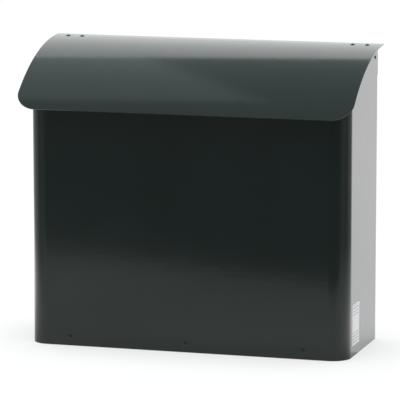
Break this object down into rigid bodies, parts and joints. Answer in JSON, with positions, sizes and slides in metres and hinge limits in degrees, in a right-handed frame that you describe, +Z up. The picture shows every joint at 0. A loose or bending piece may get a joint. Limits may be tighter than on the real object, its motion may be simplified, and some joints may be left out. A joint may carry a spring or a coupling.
{
  "type": "wall mounted mailbox",
  "caption": "Wall mounted sheet-metal mailbox with rounded front corners and a curved overhanging top lid hinged at the rear.",
  "frame": {"origin": "centre of the four wall-screw holes, on the wall's surface", "axes": "+Y points into the wall, square to it; +X to the right as seen from the front; +Z up"},
  "size_m": [0.4, 0.169, 0.3503],
  "materials": {
    "body_paint": "satin",
    "painted_rivet": "satin",
    "bracket_steel": "satin",
    "rivet_aluminium": "satin",
    "mandrel_steel": "dull",
    "washer_nylon": "matte",
    "label_film": "satin",
    "bumper_rubber": "matte"
  },
  "bodies": {
    "housing": {"body_wrap": "body_paint", "back_panel": "body_paint", "floor_tray": "body_paint", "left_pivot_rivet": "painted_rivet", "right_pivot_rivet": "painted_rivet", "left_pivot_washer": "washer_nylon", "right_pivot_washer": "washer_nylon", "front_rivets": "painted_rivet", "front_rivet_mandrels": "mandrel_steel", "back_flange_rivets": "painted_rivet", "back_flange_rivet_mandrels": "mandrel_steel", "floor_rear_rivets": "painted_rivet", "floor_rear_rivet_mandrels": "mandrel_steel", "side_label": "label_film", "left_lid_bumper": "bumper_rubber", "right_lid_bumper": "bumper_rubber"},
    "lid_assembly": {"lid": "body_paint", "left_lid_bracket": "bracket_steel", "right_lid_bracket": "bracket_steel", "lid_rivets": "rivet_aluminium", "lid_rivet_mandrels": "mandrel_steel"}
  },
  "joints": [
    {"name": "lid_hinge", "type": "hinge", "parent": "housing", "child": "lid_assembly", "pos_m": [0, -0.0173, 0.1695], "axis": [-1, 0, 0], "range_deg": [0, 90]}
  ]
}
